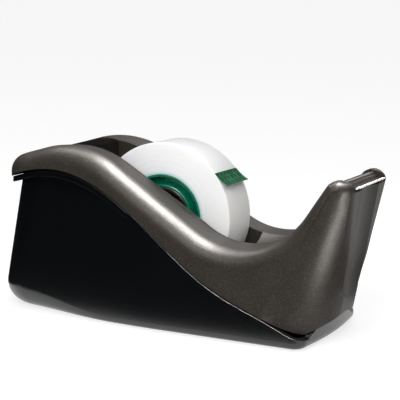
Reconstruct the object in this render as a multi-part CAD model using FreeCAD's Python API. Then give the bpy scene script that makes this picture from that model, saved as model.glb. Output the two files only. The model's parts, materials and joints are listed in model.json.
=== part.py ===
import FreeCAD, Part

import math
import os

os.makedirs("parts", exist_ok=True)

# Weighted desktop tape dispenser, millimetres. +X points to the cutter, +Z up, and the desk is z = 0.
# Every outline is a list of (a, b, radius) corners whose radii are drawn as arcs.
V = FreeCAD.Vector

# Tape roll and hub
ROLL_RADIUS = 28.5
ROLL_WIDTH = 19.0
ROLL_X = -6.9
ROLL_Z = 40.0
CORE_RADIUS = 16.2
CORE_RING = 1.0
CORE_WEB_FACE = -6.0
CORE_WEB = 1.4
CORE_ROOT_RADIUS = 13.2
CORE_RIM_RADIUS = 12.1
CORE_BORE_RADIUS = 11.25
HUB_RADIUS = 11.2
HUB_HALF_WIDTH = 9.35
HUB_BOSS_RADIUS = 5.0
HUB_JOINT = 0.05
HUB_HOLES = 6
HUB_HOLE_RADIUS = 1.7
HUB_HOLE_CIRCLE = 7.5
TAB_ANGLE = math.radians(40)
TAB_LIFT = math.radians(15)
TAB_LENGTH = 6.8
TAB_THICKNESS = 0.35
AXLE_RADIUS = 2.5
RUNNING_FIT = 0.05
RIM_ROUND = 0.25

# Housing
FOOT_DROP = 0.4
SHELL_WALL = 2.2
BASE_WALL = 2.4
SKIRT = 1.8
SKIRT_BOTTOM = 12.0
SHELL_ROUNDS = (7.0, 3.0)
HOLLOW_ROUNDS = (3.0, 1.5)
BASE_ROUNDS = (8.5, 2.5)
CAVITY_ROUNDS = (6.0, 1.2)
HALF_SPAN = 60.0
SHELL_TOP = 70.0
BALLAST_TOP = 44.0
LIP_INSET = 0.6
LIP_TOP = -1.0
LIP_BOTTOM = -3.0
LIP_ROUNDS = (6.4, 2.4)
LIP_FRONT = 40.0
NOSE_FLOOR_TOP = 0.6
TONGUE_TOP = 2.5
TONGUE_GAP = 0.2

# Shoulder tops, which fall towards the well from DISH_OUTER, and the seam line beside its edge
DISH_OUTER = 20.0
DISH_REAR = -64.0
DISH_FRONT = 2.0
DISH_CROWN = (-36.0, 68.0, 40)
EDGE_STRIP = 1.0
EDGE_GROOVE = 0.4
GROOVE_DEPTH = 0.7

# Well that the roll stands in
WELL_HALF_WIDTH = 11.0
WELL_REAR = -38.5
WELL_FRONT = 26.4
WELL_FLOOR = 8.4
LINER_WALL = 1.6
LINER_GAP = 0.1
CHEEK = 1.1

# Rear channel behind the well
CHANNEL_HALF_WIDTH = 17.0
CHANNEL_CREST_X = -52.5

# Tape landing and cutter at the nose
RECESS_HALF_WIDTH = 16.6
RECESS_FLOOR = 52.0
RECESS_FRONT = 69.6
NOSE_SILL = 57.2
CUTTER_TIP_X = 73.6
CUTTER_THICKNESS = 0.6
CUTTER_HALF_WIDTH = 15.6
CUTTER_TEETH = 24
CUTTER_TILT = 4.0
TOOTH_DEPTH = 1.0
NOSE_SCOOP_RADIUS = 30.0
NOSE_SCOOP_DEPTH = 1.6
NOSE_SCOOP_FOOT = 25.0
FRONT_ARCH_RADIUS = 44.0
FRONT_ARCH_TOP = 10.0
FRONT_ARCH_START = 52.0

# Fasteners and feet
CASE_SCREWS = ((-38.0, 18.0), (40.0, 17.5))
FEET = ((-50.0, 9.5), (45.0, 15.0))
FOOT_RADIUS = 5.0
FOOT_POCKET = 1.2
BOSS_RADIUS = 3.2
BOSS_BOTTOM = 8.0
SCREW_RADIUS = 1.3
SCREW_HEAD_RADIUS = 2.7
SCREW_SEAT = 5.4
SCREW_TIP = 17.0
PLATEN_SCREW_RADIUS = 1.0
PLATEN_SCREWS = ((65.0, -9.0), (65.0, 9.0))
PLATEN_SCREW_HEAD = 2.2
PLATEN_SCREW_TIP = 55.5

# Plan outlines of the top shell at the desk and at its top, as their +Y halves from rear to front
SHELL_LOW = [(-71.9, 27.5, 17), (-8, 30.8, 300), (64.0, 29.0, 27.5)]
SHELL_HIGH = [(-71.9, 25.5, 14), (-8, 28.4, 300), (75.2, 21.2, 2.5)]
# Side profile of the top shell: shoulders, valley, nose
SHELL_SIDE = [(-71.9, 58.8, 0), (-35.1, 69.7, 40), (40.6, 21.7, 31), (65.6, 61.9, 4.5), (90, 56.1, 0),
              (90, -5, 0), (-71.9, -5, 0)]
# Plan outlines of the base at the desk and at BASE_TOP
BASE_TOP = 62.0
BASE_LOW = [(-76.8, 26.2, 18), (-8, 30.3, 300), (59.6, 29.2, 5.5), (62.6, 0, 170)]
BASE_HIGH = [(-66.2, 23.5, 15), (-8, 28.0, 300), (57.0, 26.5, 5.5), (60.0, 0, 170)]
# Line where the top shell meets the base, seen from the side
SEAM = [(-80, 48.6), (-63.5, 54.2), (-46.5, 57.1), (-27.7, 53.1), (2.6, 33.1), (27.6, 16.6),
        (47.6, 8.6), (57.3, 4.8), (66, 3.6), (84, 3.6)]


def in_plan(z):
    return lambda p: V(p.x, p.y, z)


def in_side(y):
    return lambda p: V(p.x, y, p.y)


def directions(corners, i):
    """Unit directions into and out of corner i."""
    here = V(corners[i][0], corners[i][1], 0)
    before = V(corners[i - 1][0], corners[i - 1][1], 0)
    after = V(corners[(i + 1) % len(corners)][0], corners[(i + 1) % len(corners)][1], 0)
    return here, (here - before).normalize(), (after - here).normalize()


def corner_arc(corners, i):
    """Start, middle, end and centre of the arc at corner i."""
    here, arrive, leave = directions(corners, i)
    radius = corners[i][2]
    half = (arrive * -1).getAngle(leave) / 2
    inward = (leave - arrive).normalize()
    centre = here + inward * (radius / math.sin(half))
    reach = radius / math.tan(half)
    return here - arrive * reach, centre - inward * radius, here + leave * reach, centre


def outline(corners, place):
    """Closed wire of straight runs joined by the corners' arcs."""
    starts = []
    ends = []
    arcs = []
    for i, (a, b, radius) in enumerate(corners):
        if radius > 0:
            start, middle, end, _ = corner_arc(corners, i)
            arcs.append(Part.Arc(place(start), place(middle), place(end)).toShape())
        else:
            start = end = V(a, b, 0)
            arcs.append(None)
        starts.append(start)
        ends.append(end)
    edges = []
    for i, arc in enumerate(arcs):
        if arc:
            edges.append(arc)
        following = starts[(i + 1) % len(starts)]
        if ends[i].distanceToPoint(following) > 1e-6:
            edges.append(Part.LineSegment(place(ends[i]), place(following)).toShape())
    return Part.Wire(edges)


def inset(corners, distance):
    """The same outline a distance further in, with its arcs kept concentric."""
    area = sum(corners[i - 1][0] * c[1] - c[0] * corners[i - 1][1] for i, c in enumerate(corners))
    turn = 1 if area > 0 else -1
    moved = []
    for i, (_, _, radius) in enumerate(corners):
        here, arrive, leave = directions(corners, i)
        side_a = V(-arrive.y, arrive.x, 0) * turn
        side_b = V(-leave.y, leave.x, 0) * turn
        here = here + (side_a + side_b) * (distance / (1 + side_a.dot(side_b)))
        convex = (arrive.x * leave.y - arrive.y * leave.x) * turn > 0
        if radius > 0:
            radius = max(radius - distance, 0.5) if convex else radius + distance
        moved.append((here.x, here.y, radius))
    return moved


def both_sides(half):
    """Closed plan outline from its +Y half, whose corners on the centre line count once."""
    return half + [(a, -b, radius) for a, b, radius in reversed(half) if b > 0]


def side_slab(corners, half_width):
    """A side outline extruded across the object, centred on y = 0."""
    return Part.Face(outline(corners, in_side(-half_width))).extrude(V(0, 2 * half_width, 0))


def plan_slab(corners, low, high):
    return Part.Face(outline(corners, in_plan(low))).extrude(V(0, 0, high - low))


def block(x0, x1, y0, y1, z0, z1):
    return Part.makeBox(x1 - x0, y1 - y0, z1 - z0, V(x0, y0, z0))


def disc(radius, x, y0, y1, z):
    """Cylinder along Y."""
    return Part.makeCylinder(radius, y1 - y0, V(x, y0, z), V(0, 1, 0))


def post(radius, x, y, z0, z1):
    return Part.makeCylinder(radius, z1 - z0, V(x, y, z0))


def main_solid(shape):
    """The largest solid of a result, without the slivers that a cut leaves."""
    return max(shape.Solids, key=lambda solid: solid.Volume)


def is_sharp(shape, edge):
    middle = edge.valueAt((edge.FirstParameter + edge.LastParameter) / 2)
    normals = [f.normalAt(*f.Surface.parameter(middle)) for f in shape.ancestorsOfType(edge, Part.Face)]
    return normals[0].getAngle(normals[1]) > math.radians(15)


def round_edges(shape, chosen, radius_at):
    """Rounds the chosen sharp edges with a radius that changes along them with x."""
    document = FreeCAD.newDocument("rounding")
    base = document.addObject("Part::Feature", "base")
    base.Shape = shape
    rounded = document.addObject("Part::Fillet", "rounded")
    rounded.Base = base
    picked = []
    for number, edge in enumerate(base.Shape.Edges, 1):
        middle = edge.valueAt((edge.FirstParameter + edge.LastParameter) / 2)
        if chosen(middle) and is_sharp(base.Shape, edge):
            first = radius_at(edge.valueAt(edge.FirstParameter).x)
            last = radius_at(edge.valueAt(edge.LastParameter).x)
            picked.append((number, first, last))
    rounded.Edges = picked
    document.recompute()
    result = rounded.Shape.copy()
    FreeCAD.closeDocument(document.Name)
    return main_solid(result)


def blended(x, x0, value0, x1, value1):
    """A value that runs from value0 at x0 to value1 at x1 and is level beyond them."""
    share = min(max((x - x0) / (x1 - x0), 0), 1)
    return value0 + (value1 - value0) * share


def nose_scoop(distance):
    """Shallow concave scoop down the front face, with a round foot."""
    low = V(SHELL_LOW[-1][0], 0, 0)
    along = (V(SHELL_HIGH[-1][0], 0, SHELL_TOP) - low).normalize()
    outward = V(along.z, 0, -along.x)
    foot = low + along * NOSE_SCOOP_FOOT + outward * (NOSE_SCOOP_RADIUS - NOSE_SCOOP_DEPTH)
    radius = NOSE_SCOOP_RADIUS + distance
    return Part.makeCylinder(radius, 100, foot, along).fuse(Part.makeSphere(radius, foot))


def shell_envelope(distance, rounds=SHELL_ROUNDS):
    """Outer form of the top shell, a distance inside its real surface, with shoulder and nose rounds."""
    low = outline(inset(both_sides(SHELL_LOW), distance), in_plan(0))
    high = outline(inset(both_sides(SHELL_HIGH), distance), in_plan(SHELL_TOP))
    walls = Part.makeLoft([low, high], True, True)
    form = main_solid(walls.common(side_slab(inset(SHELL_SIDE, distance), HALF_SPAN)).removeSplitter())
    form = round_edges(
        form,
        lambda p: p.z > 50 or (p.z > 30 and abs(p.y) > 5),
        lambda x: blended(x, 42, rounds[0], 64, rounds[1]),
    )
    return main_solid(form.cut(nose_scoop(distance)))


def base_envelope(distance, rounds=BASE_ROUNDS):
    """Outer form of the base, a distance inside its real surface, with rear and side rounds."""
    low = outline(inset(both_sides(BASE_LOW), distance), in_plan(0))
    high = outline(inset(both_sides(BASE_HIGH), distance), in_plan(BASE_TOP))
    floor = FOOT_DROP + distance
    form = Part.makeLoft([low, high], True, True).cut(block(-90, 90, -60, 60, -10, floor))
    return round_edges(
        main_solid(form),
        lambda p: p.z < floor + 0.01,
        lambda x: blended(x, -60, rounds[0], -20, rounds[1]),
    )


def below_seam(rise):
    """Everything under the seam line and the arch across the front, both moved up by rise."""
    curve = Part.BSplineCurve()
    curve.interpolate([V(x, -HALF_SPAN, z + rise) for x, z in SEAM])
    first = V(SEAM[0][0], -HALF_SPAN, -20)
    last = V(SEAM[-1][0], -HALF_SPAN, -20)
    rim = Part.Wire([
        curve.toShape(),
        Part.LineSegment(curve.EndPoint, last).toShape(),
        Part.LineSegment(last, first).toShape(),
        Part.LineSegment(first, curve.StartPoint).toShape(),
    ])
    arch_centre = V(FRONT_ARCH_START, 0, FRONT_ARCH_TOP - FRONT_ARCH_RADIUS + rise)
    arch = Part.makeCylinder(FRONT_ARCH_RADIUS, SEAM[-1][0] - FRONT_ARCH_START, arch_centre, V(1, 0, 0))
    return Part.Face(rim).extrude(V(0, 2 * HALF_SPAN, 0)).fuse(arch)


def band(low, high):
    """The layer between two heights over the seam line."""
    return below_seam(high).cut(below_seam(low))


def valley_centre():
    *_, centre = corner_arc(SHELL_SIDE, 2)
    return V(centre.x, 0, centre.y)


def turned(points, centre):
    """A (y, distance from the axis) section turned fully about a line along Y through centre."""
    start, middle, end = [V(0, y, -radius) + centre for y, radius in points[:3]]
    rest = [V(0, y, -radius) + centre for y, radius in points[3:]]
    edges = [Part.Arc(start, middle, end).toShape()]
    run = [end] + rest + [start]
    edges += [Part.LineSegment(a, b).toShape() for a, b in zip(run, run[1:])]
    return Part.Face(Part.Wire(edges)).revolve(centre, V(0, 1, 0), 360)


def trough_void():
    """Dished run between the well and the nose. It is deepest beside the well and fades up the nose."""
    centre = valley_centre() + V(-4.9, 0, 0.3)
    w = WELL_HALF_WIDTH
    return turned([(-w, 31.0), (0, 35.3), (w, 31.0), (w, 22.0), (-w, 22.0)], centre)


def trough_floor():
    centre = valley_centre() + V(-4.9, 0, 0.3)
    w = WELL_HALF_WIDTH + SKIRT
    ring = turned([(-w, 33.4), (0, 37.4), (w, 33.4), (w, 24.0), (-w, 24.0)], centre)
    return ring.common(block(WELL_FRONT, 62, -w, w, 0, 60))


def channel_plan(clearance):
    """Plan of the channel behind the well, which flares towards the rear."""
    a = WELL_HALF_WIDTH - clearance
    b = CHANNEL_HALF_WIDTH - clearance
    return [(-90, -b, 0), (CHANNEL_CREST_X, -b, 12), (WELL_REAR + 0.01, -a, 0), (WELL_REAR + 0.01, a, 0),
            (CHANNEL_CREST_X, b, 12), (-90, b, 0)]


def height_on(a, b, x):
    """Height at x on the straight line through two corners."""
    return a[1] + (x - a[0]) * (b[1] - a[1]) / (b[0] - a[0])


def above_shoulder(crown, drop=0.0):
    """Side outline of the space over the shoulders under a crown, from a drop below the surface up."""
    rear, ridge, valley, nose = SHELL_SIDE[:4]
    return [
        (DISH_REAR, height_on(rear, ridge, DISH_REAR) - drop, 0),
        (crown[0], crown[1] - drop, crown[2]),
        (DISH_FRONT, height_on(ridge, valley, DISH_FRONT) - drop, 0),
        (valley[0], valley[1] - drop, valley[2]),
        (nose[0], nose[1] - drop, 0),
        (nose[0], 90, 0),
        (DISH_REAR, 90, 0),
    ]


def dish(side):
    """Wedge over one shoulder that lowers its inner edge and fades out at DISH_OUTER."""
    inner = outline(above_shoulder(DISH_CROWN), in_side(side * (WELL_HALF_WIDTH - 0.5)))
    outer = outline(above_shoulder(SHELL_SIDE[1]), in_side(side * DISH_OUTER))
    return Part.makeLoft([inner, outer], True, True)


def edge_groove(side):
    """Seam line that leaves a narrow strip along one edge of the well."""
    near = WELL_HALF_WIDTH + EDGE_STRIP
    y0, y1 = sorted((side * near, side * (near + EDGE_GROOVE)))
    return side_slab(above_shoulder(DISH_CROWN, GROOVE_DEPTH), HALF_SPAN).common(
        block(WELL_REAR, WELL_FRONT, y0, y1, 0, 90))


def mirrored_points(points):
    return [(x, side * y) for x, y in points for side in (-1, 1)]


def top_shell():
    """Moulded upper shell: shoulders, trough, nose, the well's side walls and four screw bosses."""
    outer = shell_envelope(0)
    hollow = shell_envelope(SHELL_WALL, HOLLOW_ROUNDS)
    w = WELL_HALF_WIDTH
    rear = WELL_REAR - LINER_WALL - LINER_GAP
    skirts = block(rear, WELL_FRONT + SKIRT, -w - SKIRT, w + SKIRT, SKIRT_BOTTOM, 80)
    skirts = skirts.fuse(trough_floor()).common(outer)
    channel_walls = plan_slab(channel_plan(-SKIRT), 30, 80).common(outer)
    nose_seat = block(56, 80, -RECESS_HALF_WIDTH - SKIRT, RECESS_HALF_WIDTH + SKIRT, RECESS_FLOOR - SKIRT, 80)
    upper = outer.cut(hollow).fuse([channel_walls, nose_seat.common(outer)]).cut(below_seam(0))
    bosses = [post(BOSS_RADIUS, x, y, BOSS_BOTTOM, 80).common(outer) for x, y in mirrored_points(CASE_SCREWS)]
    shell = upper.fuse([skirts] + bosses)
    shell = shell.cut([
        block(rear, WELL_FRONT, -w, w, 0, 80),
        plan_slab(channel_plan(0), 0, 80),
        trough_void(),
        block(50, RECESS_FRONT, -RECESS_HALF_WIDTH, RECESS_HALF_WIDTH, RECESS_FLOOR, 80),
        block(50, 90, -RECESS_HALF_WIDTH, RECESS_HALF_WIDTH, NOSE_SILL, 80),
    ])
    shell = main_solid(shell).cut([dish(1), dish(-1), edge_groove(1), edge_groove(-1)])
    pilots = [post(SCREW_RADIUS, x, y, BOSS_BOTTOM - 1, SCREW_TIP) for x, y in mirrored_points(CASE_SCREWS)]
    pilots += [post(PLATEN_SCREW_RADIUS, x, y, 40, 60) for x, y in PLATEN_SCREWS]
    return main_solid(shell.cut(pilots))


def well_liner():
    """Black insert: rear wall, rounded floor and front wall of the well, axle cheeks and the rear channel."""
    half = WELL_HALF_WIDTH - LINER_GAP
    rear = WELL_REAR - LINER_WALL
    front = WELL_FRONT - LINER_GAP
    wall = LINER_WALL
    bottom = WELL_FLOOR - wall
    strip = side_slab([(rear, 64.2, 0), (rear, bottom, 20), (front, bottom, 14), (front, 28.5, 0),
                       (front, 64.2, 0)], half)
    strip = strip.cut(side_slab([(rear + wall, 90, 0), (rear + wall, WELL_FLOOR, 20 - wall),
                                 (front - wall, WELL_FLOOR, 14 - wall), (front - wall, 90, 0)], 40))
    strip = strip.cut(block(0, 40, -20, 20, 28.5, 90))
    cheek = side_slab([(rear, bottom, 20), (front, bottom, 14), (front, 26.0, 4), (12.0, 27.5, 8),
                       (-1.5, 44.5, 3), (-13.5, 47.5, 4), (-28.0, 38.0, 10), (rear, 36.0, 0)], half)
    cheek = cheek.cut([block(-60, 60, CHEEK - half, half - CHEEK, 0, 90)])
    slot = AXLE_RADIUS + RUNNING_FIT
    deck = side_slab([(rear + wall, 64.8, 0), (CHANNEL_CREST_X, 63.9, 6), (-71.6, 53.0, 0), (-71.6, 51.2, 0),
                      (CHANNEL_CREST_X, 61.8, 6), (rear + wall, 62.7, 0)], CHANNEL_HALF_WIDTH)
    deck = deck.common(plan_slab(channel_plan(LINER_GAP), 0, 90).fuse(block(-41, 0, -half, half, 0, 90)))
    liner = strip.fuse([cheek, deck])
    liner = liner.cut([
        disc(slot, ROLL_X, -20, 20, ROLL_Z),
        block(ROLL_X - slot, ROLL_X + slot, -20, 20, ROLL_Z, 90),
    ])
    return main_solid(liner)


def base_shell():
    """Black tub: a lip along the seam, a tongue inside it, the nose's floor, screw wells and foot pockets."""
    outer = base_envelope(0)
    cavity = base_envelope(BASE_WALL, CAVITY_ROUNDS)
    inside_shell = shell_envelope(SHELL_WALL + TONGUE_GAP, HOLLOW_ROUNDS)
    tongue = outer.common(band(LIP_TOP, TONGUE_TOP)).common(inside_shell)
    tongue = tongue.cut(block(-90, -50, -CHANNEL_HALF_WIDTH - 2.5, CHANNEL_HALF_WIDTH + 2.5, 49, 80))
    lip = shell_envelope(LIP_INSET, LIP_ROUNDS).common(band(LIP_BOTTOM, LIP_TOP))
    lip = lip.common(block(-90, LIP_FRONT, -40, 40, 0, 80))
    nose_floor = inside_shell.common(band(LIP_TOP, NOSE_FLOOR_TOP))
    nose_floor = nose_floor.common(block(FRONT_ARCH_START, 90, -40, 40, 0, 80))
    shell = outer.common(below_seam(LIP_TOP + 0.6)).fuse([tongue, lip, nose_floor]).cut(cavity)
    floor = FOOT_DROP + BASE_WALL
    shell = shell.fuse([post(BOSS_RADIUS + 1.4, x, y, floor - 1, BOSS_BOTTOM - 0.1)
                        for x, y in mirrored_points(CASE_SCREWS)])
    shell = shell.cut(
        [post(SCREW_RADIUS + 0.3, x, y, 0, 20) for x, y in mirrored_points(CASE_SCREWS)]
        + [post(SCREW_HEAD_RADIUS + 0.3, x, y, 0, SCREW_SEAT) for x, y in mirrored_points(CASE_SCREWS)]
        + [post(FOOT_RADIUS + 0.1, x, y, 0, FOOT_DROP + FOOT_POCKET) for x, y in mirrored_points(FEET)]
    )
    return main_solid(shell)


def ballast_weight():
    """Cast weight that fills the base behind the well and runs forward along both sides of it."""
    form = base_envelope(BASE_WALL + 0.6, CAVITY_ROUNDS).common(below_seam(-5))
    form = form.common(block(-90, 20, -40, 40, FOOT_DROP + BASE_WALL + 0.05, BALLAST_TOP))
    w = WELL_HALF_WIDTH + SKIRT + 0.5
    return main_solid(form.cut(
        [block(WELL_REAR - LINER_WALL - 0.8, 90, -w, w, 0, 90)]
        + [post(BOSS_RADIUS + 2.0, x, y, 0, 90) for x, y in mirrored_points(CASE_SCREWS)]
    ))


def tape_platen():
    """Smooth crowned landing for the tape, with a groove and a slot that grips the cutter."""
    half = RECESS_HALF_WIDTH - 0.1
    form = side_slab(inset(SHELL_SIDE, 0.9), half)
    form = form.common(block(56, RECESS_FRONT - 0.1, -half, half, RECESS_FLOOR + 0.02, 80))
    return main_solid(form.cut([
        block(66.9, 67.7, -40, 40, 59.0, 80),
        block(68.7, 80, -40, 40, 59.2, 80),
        cutter_plate(0.03, CUTTER_HALF_WIDTH + 0.1, 80),
    ] + [post(PLATEN_SCREW_RADIUS, x, y, 50, 56) for x, y in PLATEN_SCREWS]))


def cutter_plate(gap, half_width, tip):
    """Flat blank of the cutter, tipped up towards its teeth, with a gap added all round."""
    plate = block(64.0 - gap, tip, -half_width, half_width, 57.5 - gap, 57.5 + CUTTER_THICKNESS + gap)
    plate.rotate(V(64.0, 0, 57.5), V(0, 1, 0), -CUTTER_TILT)
    return plate


def cutter_blade():
    """Steel strip with a saw edge, tipped up from the slot in the platen."""
    pitch = 2 * CUTTER_HALF_WIDTH / CUTTER_TEETH
    low = -CUTTER_HALF_WIDTH
    edge = [V(64, low, 0), V(CUTTER_TIP_X - TOOTH_DEPTH, low, 0)]
    for i in range(CUTTER_TEETH):
        edge.append(V(CUTTER_TIP_X, low + (i + 0.5) * pitch, 0))
        edge.append(V(CUTTER_TIP_X - TOOTH_DEPTH, low + (i + 1) * pitch, 0))
    edge += [V(64, -low, 0), edge[0]]
    blade = Part.Face(Part.makePolygon(edge)).extrude(V(0, 0, CUTTER_THICKNESS))
    blade.translate(V(0, 0, 57.5))
    blade.rotate(V(64.0, 0, 57.5), V(0, 1, 0), -CUTTER_TILT)
    return main_solid(blade)


def broken_rims(shape, beyond):
    """Rounds the circular rims that lie at least so far from y = 0."""
    circles = [e for e in shape.Edges if isinstance(e.Curve, Part.Circle)]
    rims = [e for e in circles if abs(e.Curve.Center.y) > beyond - 0.01]
    return main_solid(shape.makeFillet(RIM_ROUND, rims))


def hub_axle():
    """Steel pin whose ends rest in the cheeks' open slots."""
    half = WELL_HALF_WIDTH - LINER_GAP - 0.1
    pin = disc(AXLE_RADIUS, ROLL_X, -half, half, ROLL_Z)
    return main_solid(pin.makeChamfer(0.4, [e for e in pin.Edges if isinstance(e.Curve, Part.Circle)]))


def hub_half(side):
    """One moulded half of the hub: rim, web with lightening holes, and boss, split at y = 0."""
    def ring(outer, inner, y0, y1):
        low, high = sorted((side * y0, side * y1))
        tube = disc(outer, ROLL_X, low, high, ROLL_Z)
        return tube.cut(disc(inner, ROLL_X, low - 1, high + 1, ROLL_Z))
    bore = AXLE_RADIUS + RUNNING_FIT
    rim = ring(HUB_RADIUS, HUB_RADIUS - 1.3, HUB_JOINT, HUB_HALF_WIDTH)
    web = ring(HUB_RADIUS - 1.0, bore, 4.2, 5.6)
    boss = ring(HUB_BOSS_RADIUS, bore, HUB_JOINT, HUB_HALF_WIDTH + 0.2)
    holes = []
    for i in range(HUB_HOLES):
        angle = 2 * math.pi * i / HUB_HOLES
        x = ROLL_X + HUB_HOLE_CIRCLE * math.cos(angle)
        z = ROLL_Z + HUB_HOLE_CIRCLE * math.sin(angle)
        holes.append(disc(HUB_HOLE_RADIUS, x, -15, 15, z))
    return broken_rims(main_solid(rim.fuse([web, boss]).cut(holes)), HUB_HALF_WIDTH)


def tape_core():
    """Moulded core: outer ring that carries the tape, tapered inner ring that grips the hub, and a web."""
    half = ROLL_WIDTH / 2
    rim = half - 0.3
    inside = CORE_RADIUS - CORE_RING
    back = CORE_WEB_FACE + CORE_WEB
    section = [
        (CORE_BORE_RADIUS, -rim), (CORE_RIM_RADIUS, -rim), (CORE_ROOT_RADIUS, CORE_WEB_FACE),
        (inside, CORE_WEB_FACE),
        (inside, -half), (CORE_RADIUS, -half), (CORE_RADIUS, half), (inside, half),
        (inside, back), (CORE_ROOT_RADIUS, back), (CORE_RIM_RADIUS, rim), (CORE_BORE_RADIUS, rim),
    ]
    points = [V(ROLL_X + radius, y, ROLL_Z) for radius, y in section]
    profile = Part.Face(Part.makePolygon(points + points[:1]))
    return broken_rims(main_solid(profile.revolve(V(ROLL_X, 0, ROLL_Z), V(0, 1, 0), 360)), rim)


def tape_roll():
    """Wound tape, with its edges just broken."""
    half = ROLL_WIDTH / 2
    roll = disc(ROLL_RADIUS, ROLL_X, -half, half, ROLL_Z)
    roll = roll.cut(disc(CORE_RADIUS, ROLL_X, -20, 20, ROLL_Z))
    rims = [e for e in roll.Edges if isinstance(e.Curve, Part.Circle) and e.Curve.Radius > ROLL_RADIUS - 1]
    return main_solid(roll.makeFillet(0.3, rims))


def tape_tab():
    """Coloured starter tab, stuck to the tread along one edge and lifting off it."""
    half = ROLL_WIDTH / 2 - 0.1
    centre = V(ROLL_X, 0, ROLL_Z)
    radial = V(math.cos(TAB_ANGLE), 0, math.sin(TAB_ANGLE))
    lifted = TAB_ANGLE - math.pi / 2 + TAB_LIFT
    along = V(math.cos(lifted), 0, math.sin(lifted))
    across = V(-along.z, 0, along.x)
    root = centre + radial * (ROLL_RADIUS - 0.05)
    root = root - V(0, half, 0)
    free = root + along * TAB_LENGTH
    rise = across * TAB_THICKNESS
    tab = Part.Face(Part.makePolygon([root, free, free + rise, root + rise, root])).extrude(V(0, 2 * half, 0))
    return main_solid(tab.cut(disc(ROLL_RADIUS, ROLL_X, -20, 20, ROLL_Z)))


def screw(radius, head_radius, x, y, seat, tip):
    """Pan-head screw from below: head under z = seat, shank up to z = tip, with a cross recess."""
    head_height = 1.6
    head = post(head_radius, x, y, seat - head_height, seat)
    head = head.makeFillet(0.5, [e for e in head.Edges if e.BoundBox.ZMax < seat - head_height + 0.01])
    shank = post(radius, x, y, seat - 0.5, tip - 1).fuse(Part.makeCone(radius, 0.4, 1, V(x, y, tip - 1)))
    bottom = seat - head_height
    arm = head_radius * 0.55
    recess = [block(x - arm, x + arm, y - 0.3, y + 0.3, bottom - 1, bottom + 0.8),
              block(x - 0.3, x + 0.3, y - arm, y + arm, bottom - 1, bottom + 0.8)]
    return main_solid(head.fuse(shank).cut(recess))


def foot(x, y):
    """Round rubber foot pressed into its pocket."""
    pad = post(FOOT_RADIUS, x, y, 0, FOOT_DROP + FOOT_POCKET - 0.02)
    return main_solid(pad.makeFillet(0.3, [e for e in pad.Edges if e.BoundBox.ZMax < 0.01]))


ENDS = (("rear", 0), ("front", 1))
SIDES = (("left", 1), ("right", -1))

pieces = {
    "top_shell": top_shell(),
    "well_liner": well_liner(),
    "base_shell": base_shell(),
    "ballast_weight": ballast_weight(),
    "tape_platen": tape_platen(),
    "cutter_blade": cutter_blade(),
    "hub_axle": hub_axle(),
    "hub_half_left": hub_half(1),
    "hub_half_right": hub_half(-1),
    "tape_core": tape_core(),
    "tape_roll": tape_roll(),
    "tape_tab": tape_tab(),
}
for end, index in ENDS:
    for side, sign in SIDES:
        x, y = CASE_SCREWS[index]
        pieces[f"case_screw_{end}_{side}"] = screw(
            SCREW_RADIUS, SCREW_HEAD_RADIUS, x, sign * y, SCREW_SEAT, SCREW_TIP)
        x, y = FEET[index]
        pieces[f"foot_{end}_{side}"] = foot(x, sign * y)
for side, (x, y) in zip(("right", "left"), PLATEN_SCREWS):
    pieces[f"platen_screw_{side}"] = screw(
        PLATEN_SCREW_RADIUS, PLATEN_SCREW_HEAD, x, y, RECESS_FLOOR - SKIRT, PLATEN_SCREW_TIP)

for name, solid in pieces.items():
    solid.exportStep(f"parts/{name}.step")
    print(name, solid.ShapeType, solid.isValid(), round(solid.Volume, 1))
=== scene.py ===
import json
import math
import random

import bmesh
import bpy
from mathutils import Matrix, Vector


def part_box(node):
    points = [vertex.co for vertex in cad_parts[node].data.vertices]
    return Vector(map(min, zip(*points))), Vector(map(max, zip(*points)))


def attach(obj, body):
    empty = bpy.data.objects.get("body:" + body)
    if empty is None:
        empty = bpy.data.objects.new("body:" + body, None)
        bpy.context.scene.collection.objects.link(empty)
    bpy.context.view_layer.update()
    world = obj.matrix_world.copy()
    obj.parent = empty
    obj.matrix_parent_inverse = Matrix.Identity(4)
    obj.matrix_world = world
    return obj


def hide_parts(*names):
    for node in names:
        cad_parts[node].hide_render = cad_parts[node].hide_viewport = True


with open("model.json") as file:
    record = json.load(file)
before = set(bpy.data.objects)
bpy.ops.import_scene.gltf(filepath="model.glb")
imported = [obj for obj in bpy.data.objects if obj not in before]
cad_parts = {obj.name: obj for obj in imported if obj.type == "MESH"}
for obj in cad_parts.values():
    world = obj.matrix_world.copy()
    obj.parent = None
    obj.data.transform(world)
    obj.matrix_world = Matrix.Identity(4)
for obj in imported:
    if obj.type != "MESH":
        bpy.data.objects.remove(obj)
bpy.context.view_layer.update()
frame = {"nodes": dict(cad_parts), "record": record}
MM = 0.001

# Camera, fitted to the photograph: it looks at TARGET from DISTANCE
TARGET = Vector((1.71, 5.35, 44.97)) * MM
DISTANCE = 500 * MM
AZIMUTH = math.radians(26.26)
ELEVATION = math.radians(9.55)
ROLL = math.radians(1.13)
LENS = 114.84
SENSOR = 36.0

# Strength of the surround at the horizon and overhead, and as the camera sees it
SURROUND_LOW = 0.012
SURROUND_HIGH = 0.95
BACKDROP = 1.0

# Roll, in millimetres. RIM_SECTION holds depths (below the tread, in from the side) of its broken edge
ROLL_STEPS = 240
RING_DEPTH = 0.05
RING_WIDTHS = (0.25, 0.6)
RIM_SECTION = ((0.5, 0.01), (0.2, 0.05), (0.06, 0.16))
RIM_DROP = 0.35
RIM_MARGIN = 1.2
FILM_STEP = 0.06
FILM_DEPTH = 0.3
# Width in millimetres of the painted glow: the film's inner turns are painted green for the core's colour
# seen through them
PAINTED_CORE_GLOW = 1.8

# Starter tab: where it leaves the roll, its size in millimetres, its curl in degrees, and its hatch in
# radians per millimetre
TAB_ANGLE = math.radians(40)
TAB_LENGTH = 6.8
TAB_FILM = 0.14
TAB_STEPS = 14
TAB_START = 3
TAB_END = 24
TAB_ROWS = 2.1
TAB_DASHES = 1.9

# Bright strip along the blade's saw edge, and the break on every sharp edge, in millimetres
BEVEL_WIDTH = 0.7
EDGE_BREAK = 0.2

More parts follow.
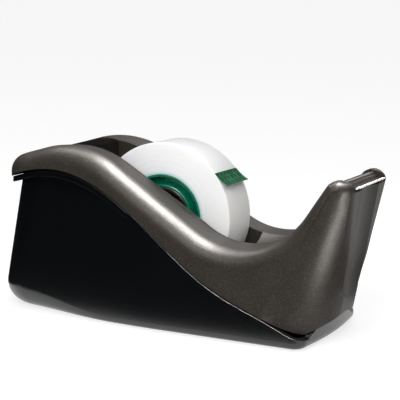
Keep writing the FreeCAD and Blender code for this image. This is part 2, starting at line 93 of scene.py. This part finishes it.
# Soft boxes: name, place, aim, size, power, and whether only reflections show it. Metres and watts
LIGHTS = (
    ("key_box", (0.15, -0.75, 0.50), (0, 0, 0.03), (0.7, 0.4), 5.0, False),
    ("top_box", (0.00, 0.05, 0.85), (0, 0, 0.03), (0.8, 0.5), 0.4, False),
    ("streak_box", (0.15, 0.00, 0.80), (0, 0, 0.03), (0.6, 0.36), 48, True),
    ("crest_box", (-0.38, 0.00, 0.72), (0, 0, 0.03), (0.4, 0.36), 4, True),
    ("ridge_strip", (0.19, -0.055, 0.002), (0.19, -0.055, 1.0), (0.16, 0.05), 0.45, True),
    ("rear_box", (-0.02, 0.80, 0.35), (0, 0, 0.04), (0.5, 0.24), 0.22, True),
)


# ---------------------------------------------------------------- node helpers

class Surface:
    """A material's node tree, with short calls for the textures that the finishes share."""

    def __init__(self, name):
        self.material = bpy.data.materials.new(name)
        self.material.use_nodes = True
        self.tree = self.material.node_tree
        self.tree.nodes.clear()
        self.shader = self.node("ShaderNodeBsdfPrincipled")
        output = self.node("ShaderNodeOutputMaterial")
        self.link(self.shader.outputs[0], output.inputs[0])
        place = self.node("ShaderNodeTexCoord")
        scale = self.node("ShaderNodeVectorMath", operation="SCALE")
        self.link(place.outputs["Object"], scale.inputs[0])
        scale.inputs["Scale"].default_value = 1 / MM
        self.mm = scale.outputs[0]

    def node(self, kind, **settings):
        made = self.tree.nodes.new(kind)
        for key, value in settings.items():
            setattr(made, key, value)
        return made

    def link(self, start, end):
        self.tree.links.new(start, end)

    def give(self, socket, value):
        if isinstance(value, bpy.types.NodeSocket):
            self.link(value, socket)
        else:
            socket.default_value = value

    def set(self, **values):
        """Principled inputs by name, with underscores for spaces."""
        for key, value in values.items():
            self.give(self.shader.inputs[key.replace("_", " ")], value)

    def stretched(self, x, y, z):
        """Millimetre coordinates multiplied along each axis."""
        made = self.node("ShaderNodeVectorMath", operation="MULTIPLY")
        self.link(self.mm, made.inputs[0])
        made.inputs[1].default_value = (x, y, z)
        return made.outputs[0]

    def noise(self, scale, detail=2.0, rough=0.5, coords=None):
        """Noise whose features are about 1/scale millimetres across."""
        made = self.node("ShaderNodeTexNoise")
        self.link(coords or self.mm, made.inputs["Vector"])
        made.inputs["Scale"].default_value = scale
        made.inputs["Detail"].default_value = detail
        made.inputs["Roughness"].default_value = rough
        return made.outputs["Fac"]

    def cells(self, scale, output="Color"):
        made = self.node("ShaderNodeTexVoronoi")
        self.link(self.mm, made.inputs["Vector"])
        made.inputs["Scale"].default_value = scale
        return made.outputs[output]

    def ramp(self, value, low, high, to_low=0.0, to_high=1.0):
        """value remapped from low..high to to_low..to_high, and clamped."""
        made = self.node("ShaderNodeMapRange")
        self.link(value, made.inputs["Value"])
        made.inputs["From Min"].default_value = low
        made.inputs["From Max"].default_value = high
        made.inputs["To Min"].default_value = to_low
        made.inputs["To Max"].default_value = to_high
        return made.outputs[0]

    def mix(self, share, a, b):
        """Colour a where share is 0 and b where it is 1."""
        made = self.node("ShaderNodeMix", data_type="RGBA")
        self.give(made.inputs["Factor"], share)
        for socket, value in ((made.inputs[6], a), (made.inputs[7], b)):
            self.give(socket, value if isinstance(value, bpy.types.NodeSocket) else (*value, 1.0))
        return made.outputs[2]

    def sum(self, a, b):
        return self.math("ADD", a, b)

    def product(self, a, b):
        return self.math("MULTIPLY", a, b)

    def math(self, operation, a, b):
        made = self.node("ShaderNodeMath", operation=operation)
        self.give(made.inputs[0], a)
        self.give(made.inputs[1], b)
        return made.outputs[0]

    def bump(self, height, depth, strength):
        """Bump whose height texture spans depth millimetres, over softly broken edges."""
        broken = self.node("ShaderNodeBevel", samples=6)
        broken.inputs["Radius"].default_value = EDGE_BREAK * MM
        made = self.node("ShaderNodeBump")
        made.inputs["Strength"].default_value = strength
        made.inputs["Distance"].default_value = depth * MM
        self.link(height, made.inputs["Height"])
        self.link(broken.outputs[0], made.inputs["Normal"])
        return made.outputs[0]


# ---------------------------------------------------------------- sizes, in millimetres

def radius_of(node):
    low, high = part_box(node)
    return (high.x - low.x) / 2 / MM


def half_width_of(node):
    low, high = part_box(node)
    return (high.y - low.y) / 2 / MM


def roll_axis():
    """Centre of the roll's axle."""
    low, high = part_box("hub_axle")
    return (low + high) / 2 / MM


# ---------------------------------------------------------------- finishes

def speckled_shell():
    """Satin grey-brown plastic full of fine metal flake."""
    s = Surface("speckled_shell")
    flake = s.node("ShaderNodeSeparateColor")
    s.link(s.cells(5.6), flake.inputs[0])
    bright = s.ramp(flake.outputs[0], 0.84, 1.0)
    dark = s.ramp(flake.outputs[1], 0.0, 0.25, 1.0, 0.0)
    cloud = s.ramp(s.noise(0.12, 3.0), 0.35, 0.65)
    base = s.mix(cloud, (0.027, 0.022, 0.017), (0.032, 0.026, 0.020))
    base = s.mix(s.product(dark, 0.6), base, (0.013, 0.011, 0.009))
    s.set(
        Base_Color=s.mix(s.product(bright, 0.5), base, (0.17, 0.15, 0.13)),
        Metallic=s.sum(s.product(bright, 0.3), 0.12),
        Roughness=s.ramp(s.noise(2.4, 3.0), 0.3, 0.7, 0.40, 0.48),
        Specular_IOR_Level=0.28,
        Coat_Weight=0.04,
        Coat_Roughness=0.25,
        Normal=s.bump(s.noise(2.6, 3.0), 0.010, 0.5),
    )
    return s.material


def black_plastic(name, colour, roughness, grain_scale, grain_depth, gloss):
    s = Surface(name)
    grain = s.noise(grain_scale, 3.0)
    tone = s.ramp(s.noise(0.08, 2.0), 0.3, 0.7)
    s.set(
        Base_Color=s.mix(tone, colour, tuple(c * 1.35 for c in colour)),
        Roughness=s.ramp(s.noise(0.6, 4.0), 0.3, 0.7, roughness, roughness + 0.015),
        Specular_IOR_Level=gloss,
        Normal=s.bump(grain, grain_depth, 0.4),
    )
    return s.material


def platen_plastic():
    s = Surface("platen")
    s.set(
        Base_Color=s.mix(s.ramp(s.noise(0.4, 3.0), 0.3, 0.7), (0.17, 0.15, 0.13), (0.20, 0.18, 0.16)),
        Metallic=0.35,
        Roughness=s.ramp(s.noise(1.4, 3.0, coords=s.stretched(0.3, 3.0, 1.0)), 0.3, 0.7, 0.26, 0.36),
        Coat_Weight=1.0,
        Coat_Roughness=0.15,
    )
    return s.material


def cast_cement():
    s = Surface("ballast")
    s.set(
        Base_Color=s.mix(s.noise(0.5, 6.0, 0.7), (0.26, 0.25, 0.235), (0.42, 0.41, 0.385)),
        Roughness=0.95,
        Normal=s.bump(s.noise(1.5, 6.0, 0.7), 0.25, 0.8),
    )
    return s.material


def steel(name, colour, roughness, grain):
    """Steel with fine lines drawn out along the axes where grain is small."""
    s = Surface(name)
    lines = s.noise(3.0, 4.0, coords=s.stretched(*grain))
    s.set(
        Base_Color=s.mix(s.ramp(lines, 0.3, 0.7), colour, tuple(min(1.0, c * 1.12) for c in colour)),
        Metallic=1.0,
        Roughness=s.ramp(lines, 0.3, 0.7, roughness - 0.05, roughness + 0.08),
        Normal=s.bump(lines, 0.006, 0.5),
    )
    return s.material


def cutter_steel():
    """Dark rolled strip with a bright strip along its saw edge, drawn in colour alone."""
    s = Surface("cutter_steel")
    parts = s.node("ShaderNodeSeparateXYZ")
    s.link(s.mm, parts.inputs[0])
    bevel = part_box("cutter_blade")[1].x / MM - BEVEL_WIDTH
    ground = s.ramp(parts.outputs[0], bevel - 0.05, bevel + 0.05)
    lines = s.noise(3.0, 4.0, coords=s.stretched(0.2, 4.0, 4.0))
    s.set(
        Base_Color=s.mix(ground, (0.050, 0.042, 0.038), (0.52, 0.51, 0.50)),
        Metallic=1.0,
        Roughness=s.ramp(lines, 0.3, 0.7, 0.26, 0.38),
        Normal=s.bump(lines, 0.003, 0.3),
    )
    return s.material


def rubber():
    s = Surface("foot_rubber")
    s.set(
        Base_Color=s.mix(s.noise(0.8, 4.0), (0.018, 0.018, 0.018), (0.035, 0.034, 0.033)),
        Roughness=0.85,
        Normal=s.bump(s.noise(6.0, 3.0), 0.02, 0.6),
    )
    return s.material


def core_plastic():
    """Glossy green styrene that lets some light through."""
    s = Surface("core_green")
    s.set(
        Base_Color=s.mix(s.ramp(s.noise(0.25, 2.0), 0.3, 0.7), (0.0, 0.13, 0.070), (0.0, 0.18, 0.100)),
        Roughness=s.ramp(s.noise(1.0, 3.0), 0.3, 0.7, 0.20, 0.30),
        Subsurface_Weight=0.25,
        Subsurface_Radius=(0.4, 1.4, 1.0),
        Subsurface_Scale=0.0012,
        Coat_Weight=0.3,
        Coat_Roughness=0.1,
    )
    return s.material


def tape_film():
    """Frosted film in hundreds of turns: fine rings on the sides and a smooth, slightly warm tread. Its
    inner turns carry a painted green glow, painted in for the green core showing through the film.
    """
    s = Surface("tape_film")
    low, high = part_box("tape_roll")
    middle = (low + high) / 2 / MM
    centred = s.node("ShaderNodeVectorMath", operation="SUBTRACT")
    s.link(s.mm, centred.inputs[0])
    centred.inputs[1].default_value = middle
    flat = s.node("ShaderNodeVectorMath", operation="MULTIPLY")
    s.link(centred.outputs[0], flat.inputs[0])
    flat.inputs[1].default_value = (1, 0, 1)
    radius = s.node("ShaderNodeVectorMath", operation="LENGTH")
    s.link(flat.outputs[0], radius.inputs[0])
    along = s.node("ShaderNodeCombineXYZ")
    s.link(radius.outputs["Value"], along.inputs[0])
    turns = s.noise(5.0, 4.0, 0.7, coords=along.outputs[0])
    film = s.mix(s.ramp(turns, 0.25, 0.75), (0.88, 0.89, 0.895), (0.95, 0.95, 0.945))
    core = radius_of("tape_core")
    # Painted glow: green painted on the film next to the core, fading outward, in place of the core's
    # colour showing through the frosted film
    painted_core_glow = s.ramp(radius.outputs["Value"], core, core + PAINTED_CORE_GLOW, 1.0, 0.0)
    s.set(
        Base_Color=s.mix(s.math("POWER", painted_core_glow, 2.0), film, (0.30, 0.78, 0.66)),
        Roughness=s.ramp(turns, 0.3, 0.7, 0.42, 0.55),
        Subsurface_Weight=0.55,
        Subsurface_Radius=(1.6, 1.4, 1.1),
        Subsurface_Scale=0.0018,
        Normal=s.bump(turns, 0.02, 0.35),
    )
    return s.material


def printed_tab():
    """Green film with a plain woven hatch of darker dashes."""
    s = Surface("tab_green")
    parts = s.node("ShaderNodeSeparateXYZ")
    s.link(s.mm, parts.inputs[0])
    rows = s.math("SINE", s.product(parts.outputs[1], TAB_ROWS), 0.0)
    slant = s.sum(parts.outputs[0], s.product(parts.outputs[2], -1.0))
    dashes = s.math("SINE", s.product(slant, TAB_DASHES), 0.0)
    hatch = s.product(s.ramp(rows, -0.3, 0.3), s.ramp(dashes, -0.7, 0.0))
    patch = s.ramp(s.noise(0.35, 3.0), 0.40, 0.60)
    green = s.mix(patch, (0.003, 0.080, 0.026), (0.008, 0.15, 0.055))
    s.set(
        Base_Color=s.mix(s.product(hatch, 0.85), green, (0.001, 0.018, 0.008)),
        Roughness=0.6,
        Specular_IOR_Level=0.05,
    )
    return s.material


FINISHES = {
    "speckled_shell": speckled_shell(),
    "black_base": black_plastic("black_base", (0.0002, 0.0006, 0.0010), 0.24, 1.0, 0.0002, 0.90),
    "black_insert": black_plastic("black_insert", (0.015, 0.014, 0.013), 0.60, 4.0, 0.012, 0.0),
    "hub_plastic": black_plastic("hub_plastic", (0.004, 0.006, 0.005), 0.35, 3.0, 0.006, 0.3),
    "platen": platen_plastic(),
    "ballast": cast_cement(),
    "cutter_steel": cutter_steel(),
    "axle_steel": steel("axle_steel", (0.60, 0.60, 0.60), 0.25, (0.3, 5.0, 0.3)),
    "screw_steel": steel("screw_steel", (0.45, 0.45, 0.44), 0.35, (2.0, 2.0, 0.4)),
    "foot_rubber": rubber(),
    "core_green": core_plastic(),
    "tape_film": tape_film(),
    "tab_green": printed_tab(),
}


def finish_cad_nodes():
    """Every CAD node takes the finish of its material slot."""
    for part in frame["record"]["subparts"]:
        node = frame["nodes"][part["node"]]
        node.data.materials.clear()
        node.data.materials.append(FINISHES[part["material_slot"]])


# ---------------------------------------------------------------- roll and tab

def add_piece(name, mesh, finish, body, angle=30):
    """Links a finished mesh as a piece that rides on a body, shaded smooth between its sharp edges."""
    piece = bpy.data.objects.new(name, mesh)
    bpy.context.collection.objects.link(piece)
    mesh.materials.append(FINISHES[finish])
    mesh.shade_smooth()
    mesh.set_sharp_from_angle(angle=math.radians(angle))
    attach(piece, body)
    return piece


def grid_mesh(name, columns, closed):
    """Mesh of quads between columns of points in millimetres; each column is a closed loop."""
    mesh = bmesh.new()
    rows = [[mesh.verts.new(Vector(p) * MM) for p in column] for column in columns]
    pairs = list(zip(rows, rows[1:]))
    if closed:
        pairs.append((rows[-1], rows[0]))
    for a, b in pairs:
        for i in range(len(a)):
            k = (i + 1) % len(a)
            mesh.faces.new((a[i], b[i], b[k], a[k]))
    if not closed:
        mesh.faces.new(rows[0])
        mesh.faces.new(reversed(rows[-1]))
    bmesh.ops.recalc_face_normals(mesh, faces=mesh.faces)
    data = bpy.data.meshes.new(name)
    mesh.to_mesh(data)
    mesh.free()
    return data


def wound_tape():
    """The roll as its turns lie: faint rings on its sides, a broken edge, and its end under the tab."""
    centre = roll_axis()
    outer = radius_of("tape_roll")
    half = half_width_of("tape_roll")
    chance = random.Random(5)
    rings = []
    radius = radius_of("tape_core")
    while radius < outer - RIM_MARGIN:
        rings.append((radius, half - chance.uniform(0.0, RING_DEPTH)))
        radius += chance.uniform(*RING_WIDTHS)
    rings += [(outer - depth, half - inset) for depth, inset in RIM_SECTION]
    tread = [(outer, half - RIM_DROP), (outer, RIM_DROP - half)]
    section = rings + tread + [(r, -y) for r, y in reversed(rings)]
    columns = []
    start = TAB_ANGLE
    angles = [start + math.tau * i / ROLL_STEPS for i in range(ROLL_STEPS)] + [start + math.tau - 0.001]
    for angle in angles:
        shrink = FILM_STEP * (1 - (angle - start) / math.tau)
        column = []
        for r, y in section:
            r = r - shrink if r > outer - FILM_DEPTH else r
            column.append((centre.x + r * math.cos(angle), centre.y + y, centre.z + r * math.sin(angle)))
        columns.append(column)
    roll = add_piece("wound_tape", grid_mesh("wound_tape", columns, True), "tape_film", "hub", 35)
    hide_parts("tape_roll")


def starter_tab():
    """Printed tab that curls off the tread from its stuck edge."""
    centre = roll_axis()
    half = half_width_of("tape_tab")
    outer = radius_of("tape_roll")
    place = Vector((centre.x + outer * math.cos(TAB_ANGLE), 0, centre.z + outer * math.sin(TAB_ANGLE)))
    section = []
    for i in range(TAB_STEPS + 1):
        share = i / TAB_STEPS
        heading = TAB_ANGLE - math.pi / 2 + math.radians(TAB_START + (TAB_END - TAB_START) * share)
        across = Vector((-math.sin(heading), 0, math.cos(heading)))
        section.append((place.copy(), place + across * TAB_FILM))
        place += Vector((math.cos(heading), 0, math.sin(heading))) * (TAB_LENGTH / TAB_STEPS)
    loop = [a for a, b in section] + [b for a, b in reversed(section)]
    columns = [[(p.x, centre.y + y, p.z) for p in loop] for y in (-half, half)]
    tab = add_piece("starter_tab", grid_mesh("starter_tab", columns, False), "tab_green", "hub", 40)
    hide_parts("tape_tab")


# ---------------------------------------------------------------- stage, lights, camera

def floor_piece(name, low, high, height, finish):
    mesh = bpy.data.meshes.new(name)
    corners = [(x, y, height) for x, y in (low, (high[0], low[1]), high, (low[0], high[1]))]
    mesh.from_pydata(corners, [], [(0, 1, 2, 3)])
    mesh.materials.append(finish)
    piece = bpy.data.objects.new(name, mesh)
    bpy.context.collection.objects.link(piece)
    return piece


def pale_floor():
    """Pale table lit softly from within. Two patches show in reflections, so glossy sides stay dark."""
    s = Surface("floor")
    s.set(
        Base_Color=s.mix(s.noise(0.02, 2.0), (0.42, 0.42, 0.42), (0.44, 0.44, 0.44)),
        Roughness=0.9,
        Specular_IOR_Level=0.0,
        Emission_Color=(1.0, 1.0, 1.0, 1.0),
        Emission_Strength=0.72,
    )
    floor_piece("floor_middle", (-0.095, -0.046), (0.090, 0.046), 0.0, s.material)
    floor_piece("floor_behind", (0.082, 0.065), (0.24, 0.34), 0.0, s.material)
    floor = floor_piece("floor", (-20, -20), (20, 20), -0.0001, s.material)
    floor.visible_glossy = False


def area_light(name, place, aim, size, power, gloss_only):
    """Soft box of size (width, height) that faces aim. A gloss-only box shows in reflections alone."""
    data = bpy.data.lights.new(name, "AREA")
    data.shape = "RECTANGLE"
    data.size, data.size_y = size
    data.energy = power
    light = bpy.data.objects.new(name, data)
    light.location = place
    light.rotation_euler = (Vector(aim) - Vector(place)).to_track_quat("-Z", "Y").to_euler()
    light.visible_camera = False
    light.visible_diffuse = not gloss_only
    bpy.context.collection.objects.link(light)


def surround():
    """World light that brightens with the square of the height. The camera sees a white backdrop."""
    world = bpy.data.worlds.new("studio")
    world.use_nodes = True
    nodes, links = world.node_tree.nodes, world.node_tree.links
    place = nodes.new("ShaderNodeTexCoord")
    parts = nodes.new("ShaderNodeSeparateXYZ")
    height = nodes.new("ShaderNodeClamp")
    square = nodes.new("ShaderNodeMath")
    square.operation = "MULTIPLY"
    strength = nodes.new("ShaderNodeMath")
    strength.operation = "MULTIPLY_ADD"
    strength.inputs[1].default_value = SURROUND_HIGH - SURROUND_LOW
    strength.inputs[2].default_value = SURROUND_LOW
    links.new(place.outputs["Generated"], parts.inputs[0])
    links.new(parts.outputs["Z"], height.inputs["Value"])
    links.new(height.outputs[0], square.inputs[0])
    links.new(height.outputs[0], square.inputs[1])
    links.new(square.outputs[0], strength.inputs[0])
    path = nodes.new("ShaderNodeLightPath")
    shown = nodes.new("ShaderNodeMix")
    shown.inputs["B"].default_value = BACKDROP
    links.new(path.outputs["Is Camera Ray"], shown.inputs["Factor"])
    links.new(strength.outputs[0], shown.inputs["A"])
    links.new(shown.outputs["Result"], nodes["Background"].inputs["Strength"])
    nodes["Background"].inputs["Color"].default_value = (1, 1, 1, 1)
    bpy.context.scene.world = world


def studio_light():
    """Key box above the camera and a soft top box, with gloss-only boxes that draw the highlights."""
    bpy.context.scene.view_settings.view_transform = "Standard"
    surround()
    for light in LIGHTS:
        area_light(*light)


def camera():
    back = Vector((
        math.sin(AZIMUTH) * math.cos(ELEVATION),
        -math.cos(AZIMUTH) * math.cos(ELEVATION),
        math.sin(ELEVATION),
    ))
    right = Vector((math.cos(AZIMUTH), math.sin(AZIMUTH), 0))
    up = back.cross(right)
    right, up = (right * math.cos(ROLL) + up * math.sin(ROLL), up * math.cos(ROLL) - right * math.sin(ROLL))
    data = bpy.data.cameras.new("camera")
    data.lens = LENS
    data.sensor_width = SENSOR
    data.clip_start = 0.01
    view = bpy.data.objects.new("camera", data)
    turn = Matrix((right, up, back)).transposed().to_4x4()
    view.matrix_world = Matrix.Translation(TARGET + back * DISTANCE) @ turn
    bpy.context.collection.objects.link(view)
    bpy.context.scene.camera = view


finish_cad_nodes()
wound_tape()
starter_tab()
pale_floor()
studio_light()
camera()
